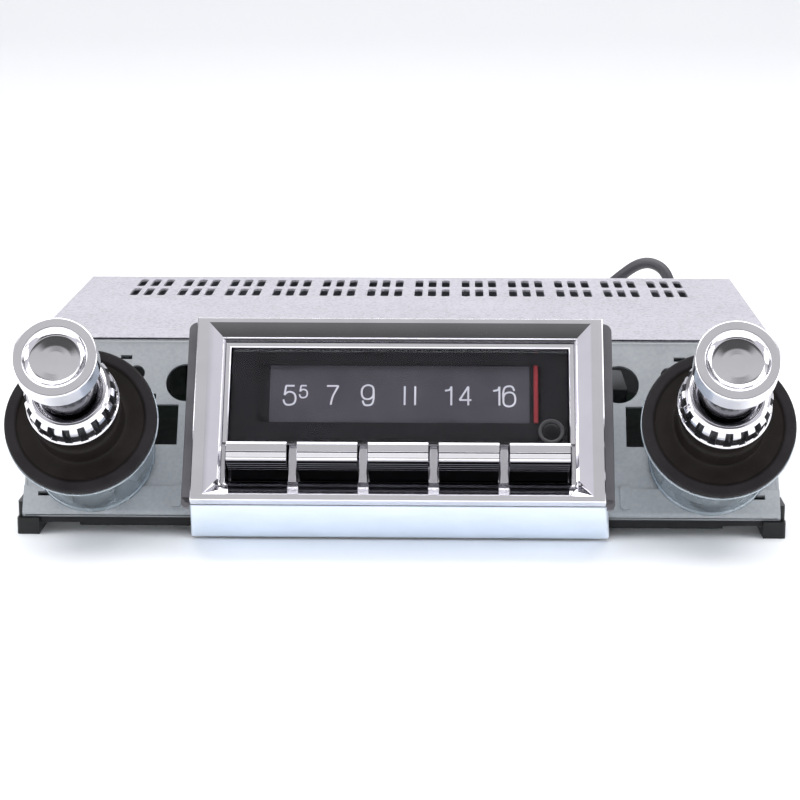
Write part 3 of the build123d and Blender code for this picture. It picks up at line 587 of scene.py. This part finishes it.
# ------------------------------------------------------------------ nose
nose_half, nose_low, nose_high = 60.0, -26.0, 31.3
bezel_loops = []


def bezel_loop(x, bottom, top, d, foot_d):
    """One run round the bezel; its foot lies at foot_d, a step below d at each lower mitre."""
    return [
        (x, bottom, foot_d), (x, bottom, d), (x, top, d), (-x, top, d), (-x, bottom, d), (-x, bottom, foot_d),
    ]


for inset, d in ((0.0, 31.02), (0.0, 34.2), (0.08, 34.45), (0.3, 34.6)):
    bezel_loops.append(bezel_loop(nose_half - inset, nose_low + inset, nose_high - inset, d, d))
for x, bottom, top, d, foot_d in (
    (56.5, -24.15, 29.75, 34.6, 34.6), (56.25, -23.95, 29.55, 34.52, 34.45),
    (52.5, -19.05, 25.75, 33.1, 30.55), (52.3, -18.85, 25.55, 32.98, 30.4),
    (52.2, -18.8, 25.5, 32.8, 30.25), (52.2, -18.8, 25.5, 32.35, 30.1),
    (51.9, -18.9, 25.2, 32.2, 30.05), (51.7, -19.0, 25.0, 32.1, 30.0),
    (51.7, -19.2, 25.0, 31.75, 30.1), (51.9, -19.4, 25.2, 31.55, 30.3),
    (52.2, -19.6, 25.5, 31.45, 30.6), (52.2, -19.8, 25.5, 31.02, 31.02),
):
    bezel_loops.append(bezel_loop(x, bottom, top, d, foot_d))
piece("nose_bezel", frame_loft(bezel_loops), FACE, "chassis", "chrome", ("trim_bezel",), 14)

flange_loops = [
    rectangle(-62.6, 62.6, -25.8, 31.1, 29.52, 2.4), rectangle(-62.8, 62.8, -25.9, 31.3, 29.8, 2.5),
    rectangle(-62.8, 62.8, -25.9, 31.3, 30.7, 2.5), rectangle(-62.6, 62.6, -25.8, 31.1, 30.98, 2.4),
    rectangle(-55.0, 55.0, -22.5, 28.0, 30.98, 0.8), rectangle(-55.0, 55.0, -22.5, 28.0, 29.52, 0.8),
]
flange_parts = [frame_loft(flange_loops)]
for side in (-1, 1):
    outer, inner = side * 62.8, side * 60.4
    ear_outline = [
        (inner, -24.0), (outer, -24.0), (outer, -25.6), (outer - side * 0.35, -26.5),
        (outer - side * 1.1, -26.9), (inner, -26.9),
    ]
    ear = [[(x, u, d) for x, u in ear_outline] for d in (29.52, 30.98)]
    flange_parts.append(frame_loft(ear, False, True, True))
piece("nose_flange_plate", joined(*flange_parts), FACE, "chassis", "dark_trim", ("nose_flange",), 40)

sleeve_loops = []
for wall, ds in ((0.0, (0.85, 10.0, 20.0, 29.45)), (1.2, (29.45, 20.0, 10.0, 0.85))):
    for d in ds:
        x = 62.9 - 2.6 * (d - 0.8) / 28.7 - wall
        corner = 0.9 if wall == 0 else 0.4
        sleeve_loops.append(rectangle(-x, x, nose_low + wall, nose_high - wall, d, corner))
# the sleeve takes the pale blue copy of the chrome: painted reflection
piece(
    "nose_sleeve_shell", frame_loft(sleeve_loops), FACE,
    "chassis", "chrome", ("nose_sleeve",), 40, look=sleeve_painted_reflection_look,
)

# face panel with its well, window frame and the dial behind its lens
well_half, well_low, well_high, well_back = 50.4, -20.6, -7.4, 17.6
button_pitch, button_width = 20.6, 17.5
button_xs = [button_pitch * (i - 2) for i in range(5)]
button_low, button_high = -13.9, -7.7
panel = frame_loft([
    rectangle(-54.5, 54.5, -22.0, 27.5, 29.25), rectangle(-54.5, 54.5, -22.0, 27.5, 30.88),
    rectangle(-50.6, 50.6, -20.8, 22.9, 30.88), rectangle(-50.6, 50.6, -20.8, 22.9, 29.25),
])
well = frame_loft([
    rectangle(-50.6, 50.6, -20.8, -7.2, 30.88),
    rectangle(-well_half, well_half, well_low, well_high, 30.7),
    rectangle(-well_half, well_half, well_low, well_high, 18.2),
    rectangle(-50.2, 50.2, -20.4, -7.6, 17.7), rectangle(-49.9, 49.9, -20.1, -7.9, well_back),
], closed=False)
piece("panel_surround", panel, FACE, "chassis", "satin_chrome", ("face_panel",), 30)
wall_parts = []
edges = [-well_half]
for x in button_xs:
    edges += [x - button_width / 2 - 0.3, x + button_width / 2 + 0.3]
edges.append(well_half)
for left, right in zip(edges[::2], edges[1::2]):
    wall_parts.append(block(left, right, well_low, well_high, 16.5, well_back))
wall_parts.append(block(-well_half, well_half, well_low, button_low - 0.3, 16.5, well_back))
posts = [
    block(x - 1.2, x + 1.2, well_low, well_high, well_back, 29.2) for x in (-30.9, -10.3, 10.3, 30.9)
]
piece("key_posts", joined(*posts), FACE, "chassis", "satin_chrome", (), 30, 0.25)
# the well's floor and lower back wall below the keys take the dark trim look: painted shade under the keys
piece(
    "button_well", joined(well, *wall_parts), FACE, "chassis", "satin_chrome", (), 30,
    accent=(looks["dark_trim"], lambda c: c.z < 30.6 and c.y < button_low - 0.2),
)
piece(
    "window_bar", block(-50.4, 50.4, -7.38, -6.62, 25.0, 30.86), FACE,
    "chassis", "black_plastic", (), 30, 0.12, look=mask_black,
)

window_loops = []
for inset, d in ((0.0, 30.92), (0.0, 31.65), (0.25, 31.88), (1.35, 31.88), (1.6, 31.6), (1.7, 30.92)):
    x, top = 51.6 - inset, 24.5 - inset
    window_loops.append([(-x, -7.2, d), (-x, top, d), (x, top, d), (x, -7.2, d)])
vertices = [point for loop in window_loops for point in loop]
count = len(window_loops)
faces = []
for first in range(count):
    second = (first + 1) % count
    for i in range(3):
        faces.append((4 * first + i, 4 * first + i + 1, 4 * second + i + 1, 4 * second + i))
faces += [tuple(4 * i for i in range(count)), tuple(4 * i + 3 for i in range(count))]
piece("window_trim", (vertices, faces), FACE, "chassis", "chrome", ("window_frame",), 20)

lens_loops = [
    rectangle(-49.5, 49.5, -6.5, 22.6, 29.45), rectangle(-49.5, 49.5, -6.5, 22.6, 30.7),
    rectangle(-49.3, 49.3, -6.3, 22.4, 30.88),
]
piece(
    "window_lens", frame_loft(lens_loops, False, True, True), FACE,
    "chassis", "clear_lens", ("dial_lens",), 30,
)
mask_loops = [
    rectangle(-49.5, 49.5, -6.5, 22.6, 28.75), rectangle(-49.5, 49.5, -6.5, 22.6, 29.18),
    rectangle(-41.9, 41.9, 0.1, 18.4, 29.18), rectangle(-42.1, 42.1, -0.1, 18.6, 28.75),
]
piece(
    "window_mask", frame_loft(mask_loops), FACE,
    "chassis", "black_plastic", ("dial_mask",), 30, look=mask_black,
)
piece(
    "dial_band", block(-38.4, 38.4, 0.4, 18.7, 27.42, 27.58), FACE,
    "chassis", "scale_grey", ("dial_scale",), 30,
)

# numerals: thin even strokes with round ends, each glyph a few lines in a unit box
STRAIGHT, SMOOTH = False, True
glyphs = {
    "5": [
        (STRAIGHT, [(0.84, 1.0), (0.20, 1.0)]),
        (STRAIGHT, [(0.20, 1.0), (0.10, 0.50)]),
        (SMOOTH, [
            (0.10, 0.50), (0.20, 0.62), (0.50, 0.70), (0.86, 0.60), (0.98, 0.33), (0.86, 0.04),
            (0.46, -0.04), (0.10, 0.02), (0.03, 0.26),
        ]),
    ],
    "7": [
        (STRAIGHT, [(0.02, 1.0), (0.90, 1.0)]),
        (SMOOTH, [(0.90, 1.0), (0.62, 0.66), (0.42, 0.34), (0.34, 0.0)]),
    ],
    "9": [
        (SMOOTH, [
            (0.88, 0.70), (0.90, 0.90), (0.66, 1.05), (0.26, 1.05), (-0.02, 0.86), (-0.02, 0.48),
            (0.22, 0.30), (0.62, 0.30), (0.90, 0.48), (0.88, 0.72),
        ]),
        (SMOOTH, [(0.89, 0.66), (0.92, 0.36), (0.80, 0.02), (0.46, -0.04), (0.14, 0.0), (0.07, 0.22)]),
    ],
    "6": [
        (SMOOTH, [
            (0.02, 0.30), (0.0, 0.10), (0.24, -0.05), (0.64, -0.05), (0.92, 0.14), (0.92, 0.52),
            (0.68, 0.70), (0.28, 0.70), (0.0, 0.52), (0.02, 0.28),
        ]),
        (SMOOTH, [(0.01, 0.34), (-0.02, 0.64), (0.10, 0.98), (0.44, 1.04), (0.76, 1.0), (0.83, 0.78)]),
    ],
    "4": [
        (STRAIGHT, [(0.68, 0.0), (0.68, 1.0)]),
        (STRAIGHT, [(0.68, 1.0), (0.02, 0.28)]),
        (STRAIGHT, [(0.02, 0.28), (0.92, 0.28)]),
    ],
    "1": [(STRAIGHT, [(0.45, 0.0), (0.45, 1.0)])],
    "1 with flag": [
        (STRAIGHT, [(0.60, 0.0), (0.60, 1.0)]),
        (SMOOTH, [(0.60, 1.0), (0.54, 0.84), (0.36, 0.79), (0.12, 0.78)]),
    ],
}
print_depth, print_relief = 27.62, 0.12


def glyph(character, x, u, height, stroke=0.28):
    """One numeral's strokes as a flat raised print; x is its middle and u its foot."""
    data = round_curve("stroke", stroke, 2)
    width = 0.60 * height
    for smooth, line in glyphs[character]:
        points = [
            (x + (across - 0.46) * width, u + stroke + up * (height - 2 * stroke), 0) for across, up in line
        ]
        add_line(data, points, smooth, 6)
    made = linked("stroke", data)
    bpy.context.view_layer.update()
    depsgraph = bpy.context.evaluated_depsgraph_get()
    mesh = bpy.data.meshes.new_from_object(made.evaluated_get(depsgraph))
    bpy.data.objects.remove(made)
    vertices = [(v.co.x, v.co.y, print_depth + print_relief * v.co.z) for v in mesh.vertices]
    return vertices, [tuple(p.vertices) for p in mesh.polygons]


foot, tall = 6.0, 6.5
numerals = joined(
    glyph("5", -32.6, foot, tall), glyph("5", -28.5, foot + 2.3, 4.2, 0.23),
    glyph("7", -19.8, foot, tall), glyph("9", -9.3, foot, tall),
    glyph("1", 1.6, foot, tall), glyph("1", 4.7, foot, tall), glyph("1 with flag", 14.8, foot, tall),
    glyph("4", 19.5, foot, tall), glyph("1 with flag", 29.0, foot, tall), glyph("6", 32.45, foot, tall),
)
piece("dial_numerals", numerals, FACE, "chassis", "white_plastic", (), 30, look=ink)
needle = frame_loft([
    rectangle(39.65, 40.95, 0.6, 26.0, 27.92), rectangle(39.65, 40.95, 0.6, 26.0, 28.25),
    rectangle(39.9, 40.7, 0.8, 25.8, 28.38),
], False, True, True)
piece("dial_needle", needle, FACE, "pointer_body", "pointer_red", ("dial_pointer",), 30)

sensor = FACE @ Matrix.Translation((0.0446, -0.003, 0))
sensor_section = rounded([
    (2.65, 30.92), (3.8, 30.92), (3.8, 31.3), (3.4, 31.58), (2.9, 31.4), (2.65, 31.1),
], 0.1)
piece(
    "sensor_bezel", lathe(sensor_section, 64, closed=True),
    sensor, "chassis", "black_plastic", ("sensor_ring",), 30, look=sensor_black,
)
piece(
    "sensor_dome", lathe([(2.6, 30.92), (2.6, 31.1), (2.4, 31.3), (1.9, 31.42), (1.0, 31.48), (0, 31.5)], 48),
    sensor, "chassis", "sensor_dark", ("sensor_lens",), 40,
)

# push-buttons: long plated keys with two grooves across the front and ribs underneath
rib_depth = 0.28
ribs = []
for i in range(4):
    rib = 26.6 + 1.7 * i
    ribs += [
        (rib, button_low), (rib + 0.15, button_low - rib_depth), (rib + 0.9, button_low - rib_depth),
        (rib + 1.12, button_low),
    ]
key = rounded([
    (15.7, button_low), *ribs, (33.7, button_low), (34.4, button_low + 0.1), (34.95, button_low + 0.4),
    (35.22, button_low + 0.8), (35.44, button_low + 2.2), (35.36, button_low + 2.32),
    (35.36, button_low + 2.58), (35.58, button_low + 2.75), (35.58, button_high - 1.2),
    (35.25, button_high - 1.35), (35.1, button_high - 1.2), (35.25, button_high - 1.05),
    (35.05, button_high - 0.5), (34.5, button_high - 0.1), (33.8, button_high), (15.7, button_high),
], 0.12)


def painted_shade_on_key(c):
    """Painted shade: the underside behind the front edge, and the floor of the lower groove, darkened."""
    underside = c.z < 33.6 and c.y < button_low + 0.05
    groove = 35.3 < c.z < 35.5 and 2.27 < c.y - button_low < 2.7
    return underside or groove


for i, x in enumerate(button_xs):
    left, right = x - button_width / 2, x + button_width / 2
    body = extruded(key, left, right)
    guide = block(left - 0.9, right + 0.9, button_low - 0.7, button_high + 0.7, 14.25, 15.55)
    pad = block(x - 4, x + 4, button_low + 0.4, button_high - 0.4, 12.2, 14.3)
    # the key undersides and lower groove floors take the dark chrome copy: painted shade
    piece(
        f"key_{i + 1}", joined(body, guide, pad), FACE,
        f"button_{i + 1}_body", "chrome", (f"button_{i + 1}",), 38, 0.12, accent=(painted_shade_chrome, painted_shade_on_key),
    )

# a thin black strip stands in for the shadow where the cover meets the front plate: painted shadow
piece(
    "cover_painted_shadow", block(-112.5, 112.5, 38.3, 38.7, 0.7, 0.96), FACE,
    "chassis", "black_plastic", (), 30, look=mask_black,
)

# ------------------------------------------------------------------ cover screws
cover_low, cover_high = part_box("top_cover")


def pan_head(radius, height):
    """A screw's low round head, from its seat up."""
    outline = rounded([
        (radius, 0), (radius, height * 0.35), (radius * 0.8, height * 0.85), (radius * 0.45, height),
        (0, height),
    ], 0.2)
    return lathe(outline, 40)


# each head is marked with a thin cross that stands just proud of its crown
head = joined(
    pan_head(2.6, 1.45), *(block(-a, a, -b, b, 1.36, 1.47) for a, b in ((1.7, 0.45), (0.45, 1.7))),
)
heads = []
for side in (-1, 1):
    for reach in (70, 112):
        y = cover_low[1] / MM + reach
        z = cover_high[2] / MM - 4.2
        turn = Matrix.Rotation(side * math.pi / 2, 4, "Y")
        seat = Matrix.Translation((side * (cover_high[0] / MM), y, z)) @ turn
        heads.append(([tuple(seat @ Vector(v)) for v in head[0]], head[1]))
piece("cover_screws", joined(*heads), Matrix.Identity(4), "chassis", "screw_steel", ("screws",), 35)

# ------------------------------------------------------------------ cable ends
plug_axis = (Vector(route[-1]) - Vector(route[-2])).normalized()
plug_place = Matrix.Translation(route[-1]) @ plug_axis.to_track_quat("Z", "Y").to_matrix().to_4x4()
grip = [(2.15, 0.0), (2.8, 0.1), (3.1, 3.0), (3.7, 6.8), (4.3, 7.2)]
for i in range(5):
    z = 8.2 + 2.4 * i
    grip += [(4.38, z), (4.38, z + 1.3), (4.0, z + 1.6), (4.0, z + 2.1)]
grip += [(4.35, 20.6), (4.3, 21.4), (3.6, 21.95), (1.85, 21.95)]
plug_grip = piece(
    "plug_grip", lathe(rounded(grip, 0.3), 64), plug_place, "chassis", "black_plastic", ("cable_plug",), 35,
)
pin_outline = rounded([
    (1.8, 21.9), (1.72, 22.2), (1.72, 30.2), (1.45, 30.7), (1.45, 31.3), (1.72, 31.8), (1.72, 34.2),
    (0.9, 35.8), (0, 35.95),
], 0.3)
pin = piece("plug_pin", lathe(pin_outline, 48), plug_place, "chassis", "chrome", ("plug_tip",), 35)
dress(cable, "cable_rubber")
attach(cable, "chassis")
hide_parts("signal_cable")

# ------------------------------------------------------------------ CAD nodes keep their shapes
unlit = ("dial_plate", "dial_mask", "dial_housing")
for name, obj in nodes.items():
    slot_name = obj.data.materials[0].name.split(".")[0]
    dress(obj, slot_name, mask_black if name in unlit else None)

# ------------------------------------------------------------------ studio
floor_mesh = bpy.data.meshes.new("studio_floor")
sweep = [(-4.0, 0.0), (1.2, 0.0), (1.8, 0.04), (2.3, 0.2), (2.7, 0.55), (2.9, 1.0), (3.0, 2.2)]
floor_vertices = [(x, y, z) for y, z in sweep for x in (-4.0, 4.0)]
floor_faces = [(2 * i, 2 * i + 1, 2 * i + 3, 2 * i + 2) for i in range(len(sweep) - 1)]
floor_mesh.from_pydata(floor_vertices, [], floor_faces)
studio_floor = linked("studio_floor", floor_mesh)
floor_mesh.shade_smooth()
paper = Graph("studio_floor_look")
floor_tone = paper.mix(
    paper.span(paper.noise(3.0, 2.0), 0.0, 1.0), (0.93, 0.945, 0.96), (0.95, 0.955, 0.965),
)
floor_mesh.materials.append(paper.finish(floor_tone, 0.7))

world = bpy.data.worlds.new("studio")
bpy.context.scene.world = world
world.use_nodes = True
tree = world.node_tree
background = tree.nodes["Background"]


def sky_bands(height, stops, tint):
    """Brightness by the sine of the elevation: 0 at the horizon and below, 1 straight up."""
    made = tree.nodes.new("ShaderNodeValToRGB")
    tree.links.new(height, made.inputs[0])
    elements = made.color_ramp.elements
    while len(elements) < len(stops):
        elements.new(0.5)
    for element, (position, value) in zip(elements, stops):
        element.position = position
        element.color = (*(min(1.0, value * part) for part in tint), 1)
    return made.outputs[0]


def fade(value, start, end):
    """0 at start, rising to 1 at end."""
    made = tree.nodes.new("ShaderNodeMapRange")
    tree.links.new(value, made.inputs["Value"])
    made.inputs["From Min"].default_value = start
    made.inputs["From Max"].default_value = end
    return made.outputs[0]


def blended(factor, first, second):
    """first where factor is 0 and second where it is 1; second may be a plain colour."""
    made = tree.nodes.new("ShaderNodeMix")
    made.data_type = "RGBA"
    tree.links.new(factor, made.inputs[0])
    tree.links.new(first, made.inputs[6])
    if isinstance(second, bpy.types.NodeSocket):
        tree.links.new(second, made.inputs[7])
    else:
        made.inputs[7].default_value = (*second, 1)
    return made.outputs[2]


direction = tree.nodes.new("ShaderNodeSeparateXYZ")
tree.links.new(tree.nodes.new("ShaderNodeTexCoord").outputs["Generated"], direction.inputs[0])
aside = tree.nodes.new("ShaderNodeMath")
aside.operation = "ABSOLUTE"
tree.links.new(direction.outputs["X"], aside.inputs[0])
front_stops = [
    (0.0, 0.10), (0.17, 0.10), (0.27, 0.22), (0.38, 0.10), (0.47, 0.08), (0.50, 0.95), (0.60, 1.0),
    (0.63, 0.08), (0.735, 0.10), (0.775, 0.60), (0.89, 0.64), (0.92, 0.14), (1.0, 0.5),
]
rear_stops = [
    (0.0, 0.7), (0.12, 0.97), (0.33, 0.97), (0.38, 0.26), (0.58, 0.2), (0.70, 0.85), (0.80, 0.97),
    (1.0, 0.97),
]
front = sky_bands(direction.outputs["Z"], front_stops, (0.985, 0.985, 1.0))
rear = sky_bands(direction.outputs["Z"], rear_stops, (1.0, 1.0, 1.03))
around = blended(fade(aside.outputs[0], 0.34, 0.52), front, (0.72, 0.71, 0.76))
around = blended(fade(direction.outputs["Y"], -0.25, 0.1), around, rear)
ray = tree.nodes.new("ShaderNodeLightPath")
backdrop = blended(ray.outputs["Is Camera Ray"], around, (0.95, 0.955, 0.965))
tree.links.new(backdrop, background.inputs["Color"])
background.inputs["Strength"].default_value = 1.0


def area_light(name, location, target, width, height, watts, tint=(1, 1, 1)):
    data = bpy.data.lights.new(name, "AREA")
    data.shape = "RECTANGLE"
    data.size, data.size_y = width, height
    data.energy = watts
    data.color = tint
    lamp = linked(name, data)
    lamp.location = location
    lamp.rotation_euler = (Vector(target) - Vector(location)).to_track_quat("-Z", "Y").to_euler()
    return lamp


area_light("overhead", (0, 0.1, 1.5), (0, 0, 0), 2.2, 1.6, 26)
front_fill = area_light("front_fill", (0, -1.3, 0.12), (0, 0, 0), 1.8, 0.4, 16, (0.93, 0.97, 1.0))
front_fill.visible_glossy = False
area_light("left_side", (-1.5, -0.5, 0.7), (0, 0, 0.03), 0.9, 1.0, 7)
area_light("right_side", (1.5, -0.5, 0.7), (0, 0, 0.03), 0.9, 1.0, 7)
bpy.context.scene.view_settings.view_transform = "Standard"
bpy.context.scene.view_settings.look = "None"
